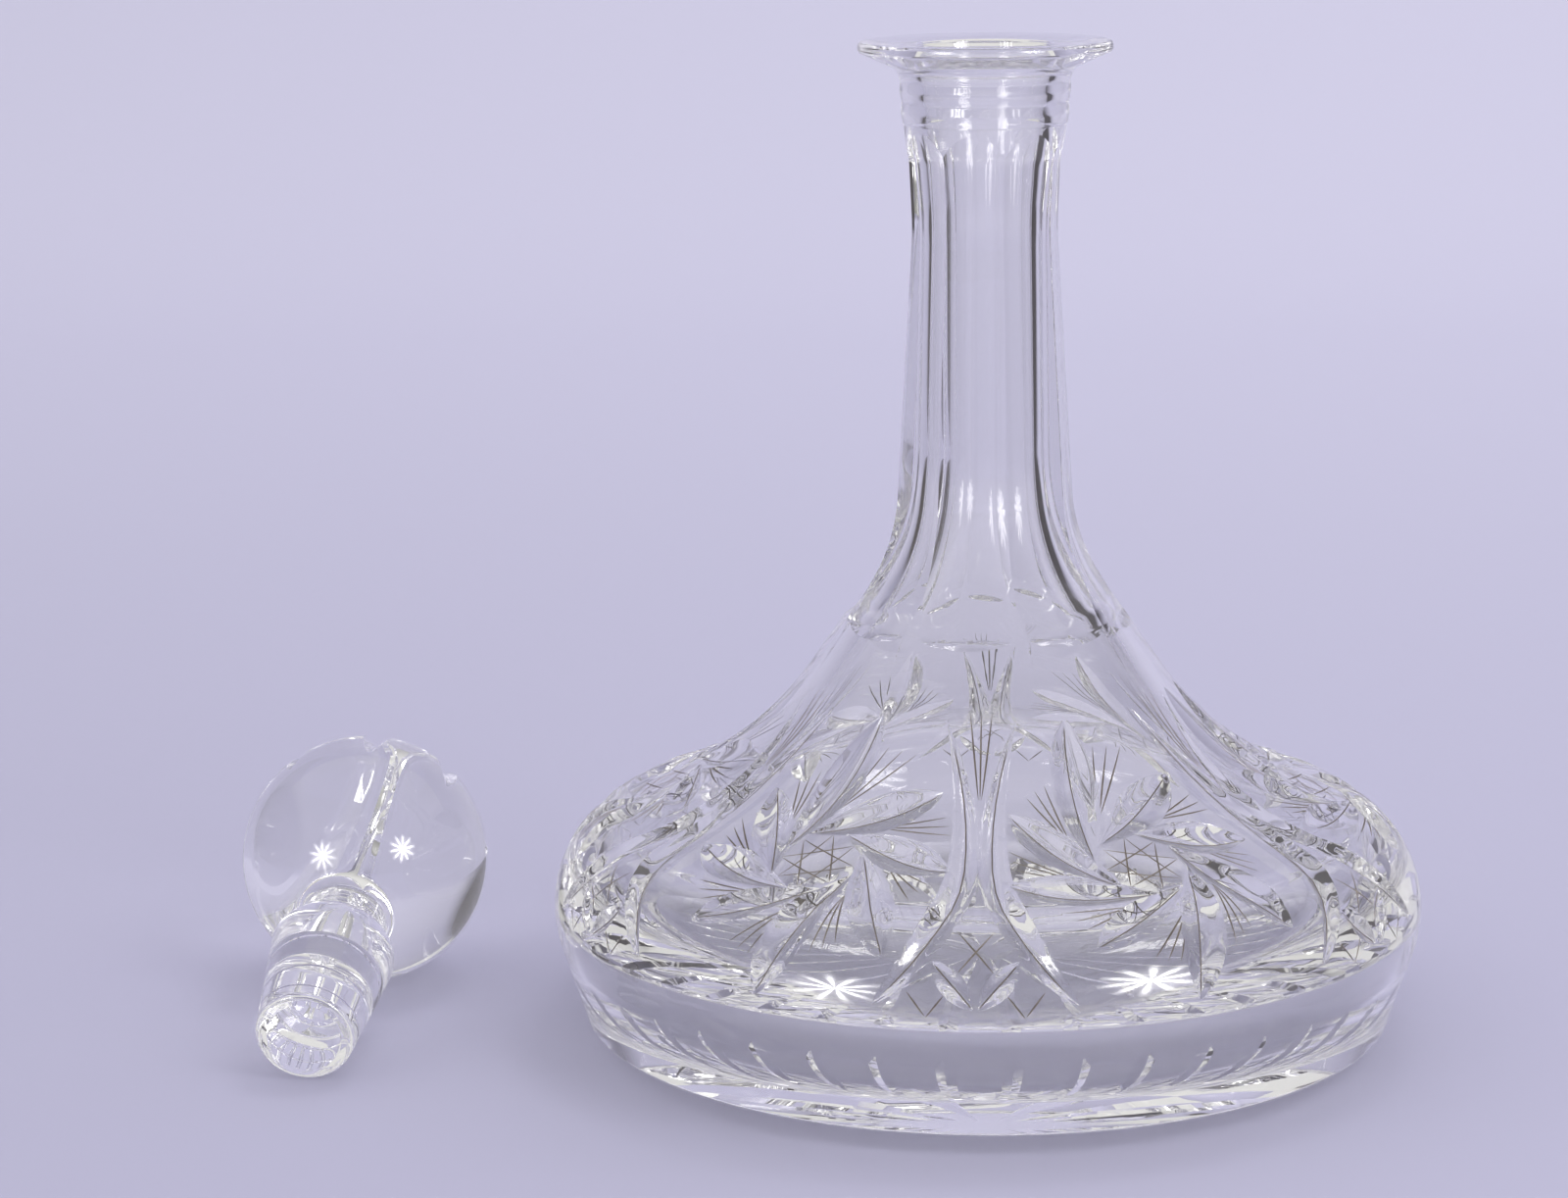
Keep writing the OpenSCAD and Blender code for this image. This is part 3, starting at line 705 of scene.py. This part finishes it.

# Paper
# A wide sheet of matt lavender paper lies flat under the glass and sweeps up behind it, as in a studio.
# It is painted paler towards the back, as painted light where more light falls on the climbing sheet, and
# its fibres give it a faint tooth. Its sizes are in metres.
SHEET_WIDTH = 16
SHEET_FRONT = -8
SHEET_BACK = 1.1
SHEET_Z = -0.4 * MM
SWEEP_UP_R = 1.2
SWEEP_UP_STEPS = 24
WALL_TOP = 3
PAINTED_LIGHT_FROM = -0.2
PAINTED_LIGHT_TO = 1.5
FIBRE = 1.5 * MM
bpy.ops.object.select_all(action="DESELECT")
bpy.ops.mesh.primitive_plane_add(size=2)
floor = bpy.context.object
floor.name = "paper_sheet"
for vertex in floor.data.vertices:
    vertex.co = (vertex.co.x * SHEET_WIDTH / 2, SHEET_BACK if vertex.co.y > 0 else SHEET_FRONT, SHEET_Z)
rear = [v.co.y > 0 for v in floor.data.vertices]
select_edges(floor, lambda e: rear[e.vertices[0]] and rear[e.vertices[1]])
bpy.ops.mesh.spin(steps=SWEEP_UP_STEPS, angle=-math.pi / 2, center=(0, SHEET_BACK, SWEEP_UP_R),
                  axis=(1, 0, 0))
bpy.ops.mesh.extrude_region_move(TRANSFORM_OT_translate={"value": (0, 0, WALL_TOP - SWEEP_UP_R)})
bpy.ops.object.mode_set(mode="OBJECT")
bpy.ops.object.shade_smooth()
paper = bpy.data.materials.new("matt_paper")
paper.use_nodes = True
tree = paper.node_tree
sheet = tree.nodes["Principled BSDF"]
place = add_node(tree, "ShaderNodeTexCoord")
depth = add_node(tree, "ShaderNodeSeparateXYZ", links={"Vector": (place, "Object")})
# Painted light: the paper's colour pales from front to back, where the sheet climbs into more light
painted_light_climb = add_node(tree, "ShaderNodeMapRange", settings={"interpolation_type": "SMOOTHSTEP"},
                 inputs={"From Min": PAINTED_LIGHT_FROM, "From Max": PAINTED_LIGHT_TO}, links={"Value": (depth, "Y")})
painted_light_tint = add_node(tree, "ShaderNodeMix", settings={"data_type": "RGBA"}, links={"Factor": (painted_light_climb, "Result")})
painted_light_tint.inputs["A"].default_value = linear("#B9B7D0")
painted_light_tint.inputs["B"].default_value = linear("#D6D4EA")
tree.links.new(painted_light_tint.outputs["Result"], sheet.inputs["Base Color"])
fibre = add_node(tree, "ShaderNodeTexNoise", inputs={"Scale": 1 / FIBRE, "Detail": 3},
                 links={"Vector": (place, "Object")})
tooth = add_node(tree, "ShaderNodeBump", inputs={"Strength": 0.15, "Distance": 0.1 * MM},
                 links={"Height": (fibre, "Fac")})
tree.links.new(tooth.outputs["Normal"], sheet.inputs["Normal"])
sheet.inputs["Roughness"].default_value = 0.9
sheet.inputs["Specular IOR Level"].default_value = 0.1
floor.data.materials.append(paper)

# Dark cards
# A grey card stands on each side of the glass, outside the picture.
# Only the glass sees them: they draw its edges and some of its cuts dark, as a dim room does.
CARDS = (("card_left", -0.62), ("card_right", 0.5))
CARD_WIDE = 1
CARD_TALL = 0.6
CARD_Y = 0.1
CARD_Z = 0.2
CARD_DENSE_FROM = 0.15
card_board = bpy.data.materials.new("dark_card")
card_board.use_nodes = True
tree = card_board.node_tree
board = tree.nodes["Principled BSDF"]
board.inputs["Base Color"].default_value = linear("#6A6764")
board.inputs["Roughness"].default_value = 0.9
board.inputs["Specular IOR Level"].default_value = 0
# The cards thin out towards their edges, so that no hard edge shows in the glass
place = add_node(tree, "ShaderNodeTexCoord")
spread = add_node(tree, "ShaderNodeMapping", inputs={"Location": (-1, -1, 0), "Scale": (2, 2, 0)},
                  links={"Vector": (place, "UV")})
thin = add_node(tree, "ShaderNodeTexGradient", settings={"gradient_type": "QUADRATIC_SPHERE"},
                links={"Vector": (spread, "Vector")})
dense = add_node(tree, "ShaderNodeMapRange", inputs={"From Max": CARD_DENSE_FROM},
                 links={"Value": (thin, "Fac")})
clear = add_node(tree, "ShaderNodeBsdfTransparent")
blend = add_node(tree, "ShaderNodeMixShader",
                 links={0: (dense, "Result"), 1: (clear, "BSDF"), 2: (board, "BSDF")})
tree.links.new(blend.outputs["Shader"], tree.nodes["Material Output"].inputs["Surface"])
for name, side in CARDS:
    bpy.ops.object.select_all(action="DESELECT")
    bpy.ops.mesh.primitive_plane_add(size=1)
    card = bpy.context.object
    card.name = name
    for vertex in card.data.vertices:
        vertex.co = (side, vertex.co.x * CARD_WIDE + CARD_Y, vertex.co.y * CARD_TALL + CARD_Z)
    card.data.materials.append(card_board)
    card.visible_camera = False
    card.visible_diffuse = False
    card.visible_shadow = False

# Light
# Two white umbrellas left and right of the camera are seen only in the glass, ribs and all.
# A key lamp lights the paper, most of it without a shadow, as clear glass lets light through.
# A pale room fills in from above, and a lamp behind the glass lifts the sheet where it climbs.
UMBRELLAS = (("umbrella_left", -36, 14, 36), ("umbrella_right", 44, 19.5, 54))
UMBRELLA_R = 0.36
UMBRELLA_DISTANCE = 1.5
UMBRELLA_AIM = Vector((-0.05, 0, 0.06))
UMBRELLA_SIDES = 60
RIBS = 10
RIB_SHARPNESS = 3
BETWEEN_RIBS = 0.12
MIDDLE_SHINE = 1.5
EDGE_SHINE = 0.1
for name, swing, rise, strength in UMBRELLAS:
    bpy.ops.object.select_all(action="DESELECT")
    bpy.ops.mesh.primitive_circle_add(vertices=UMBRELLA_SIDES, radius=UMBRELLA_R, fill_type="TRIFAN")
    umbrella = bpy.context.object
    umbrella.name = name
    # Lit cloth is bright along its ribs and in the middle, and dims between ribs and towards the edge
    cloth = bpy.data.materials.new(name + "_lit")
    cloth.use_nodes = True
    tree = cloth.node_tree
    tree.nodes.clear()
    place = add_node(tree, "ShaderNodeTexCoord")
    apart = add_node(tree, "ShaderNodeSeparateXYZ", links={"Vector": (place, "Object")})
    around = add_node(tree, "ShaderNodeMath", settings={"operation": "ARCTAN2"},
                      links={0: (apart, "Y"), 1: (apart, "X")})
    turns = add_node(tree, "ShaderNodeMath", settings={"operation": "MULTIPLY"}, inputs={1: RIBS / 2},
                     links={0: (around, "Value")})
    wave = add_node(tree, "ShaderNodeMath", settings={"operation": "COSINE"}, links={0: (turns, "Value")})
    square = add_node(tree, "ShaderNodeMath", settings={"operation": "MULTIPLY"},
                      links={0: (wave, "Value"), 1: (wave, "Value")})
    sharp = add_node(tree, "ShaderNodeMath", settings={"operation": "POWER"}, inputs={1: RIB_SHARPNESS},
                     links={0: (square, "Value")})
    out_from_middle = add_node(tree, "ShaderNodeVectorMath", settings={"operation": "LENGTH"},
                               links={0: (place, "Object")})
    fall = add_node(tree, "ShaderNodeMapRange", settings={"interpolation_type": "SMOOTHSTEP"},
                    inputs={"From Max": UMBRELLA_R, "To Min": MIDDLE_SHINE, "To Max": EDGE_SHINE},
                    links={"Value": (out_from_middle, "Value")})
    ribs = add_node(tree, "ShaderNodeMapRange", inputs={"To Min": BETWEEN_RIBS, "To Max": 1},
                    links={"Value": (sharp, "Value")})
    shine = add_node(tree, "ShaderNodeMath", settings={"operation": "MULTIPLY"},
                     links={0: (fall, "Result"), 1: (ribs, "Result")})
    power = add_node(tree, "ShaderNodeMath", settings={"operation": "MULTIPLY"}, inputs={1: strength},
                     links={0: (shine, "Value")})
    glow = add_node(tree, "ShaderNodeEmission", inputs={"Color": linear("#FFFEFB")},
                    links={"Strength": (power, "Value")})
    add_node(tree, "ShaderNodeOutputMaterial", links={"Surface": (glow, "Emission")})
    umbrella.data.materials.append(cloth)
    a = math.radians(swing)
    e = math.radians(rise)
    toward = Vector((math.sin(a) * math.cos(e), -math.cos(a) * math.cos(e), math.sin(e)))
    umbrella.location = UMBRELLA_AIM + toward * UMBRELLA_DISTANCE
    umbrella.rotation_euler = toward.to_track_quat("Z", "Y").to_euler()
    umbrella.visible_camera = False
    umbrella.visible_diffuse = False

# Each lamp's name, stand, target, power in watts, and whether it casts a shadow
KEY_STAND = (1.2, -1.1, 1.4)
KEY_TARGET = (-0.05, 0, 0.05)
LAMPS = (("key_lamp", KEY_STAND, KEY_TARGET, 6, True),
         ("key_lamp_through_glass", KEY_STAND, KEY_TARGET, 16, False),
         ("backdrop_lamp", (0.5, 0.7, 2.4), (0.2, 2.2, 1), 9, True))
LAMP_SIZE = 0.8
for name, stand, target, watts, shadow in LAMPS:
    bpy.ops.object.select_all(action="DESELECT")
    bpy.ops.object.light_add(type="AREA", location=stand)
    lamp = bpy.context.object
    lamp.name = name
    lamp.data.size = LAMP_SIZE
    lamp.data.energy = watts
    lamp.data.use_shadow = shadow
    lamp.rotation_euler = (Vector(stand) - Vector(target)).to_track_quat("Z", "Y").to_euler()
    lamp.visible_glossy = False
    lamp.visible_transmission = False

ROOM_LOW = 0.3
ROOM_HIGH = 0.9
world = bpy.context.scene.world or bpy.data.worlds.new("room")
bpy.context.scene.world = world
world.use_nodes = True
room = world.node_tree
room.nodes.clear()
place = add_node(room, "ShaderNodeTexCoord")
apart = add_node(room, "ShaderNodeSeparateXYZ", links={"Vector": (place, "Generated")})
high = add_node(room, "ShaderNodeMapRange", links={"Value": (apart, "Z")},
                inputs={"From Min": -0.05, "From Max": 0.55, "To Min": ROOM_LOW, "To Max": ROOM_HIGH})
air = add_node(room, "ShaderNodeBackground", inputs={"Color": linear("#F3F2F0")},
               links={"Strength": (high, "Result")})
add_node(room, "ShaderNodeOutputWorld", links={"Surface": (air, "Background")})

# Light crosses many walls of glass before it leaves
GLASS_BOUNCES = 96
cycles = bpy.context.scene.cycles
cycles.max_bounces = GLASS_BOUNCES
cycles.transmission_bounces = GLASS_BOUNCES
cycles.glossy_bounces = GLASS_BOUNCES
cycles.diffuse_bounces = 3
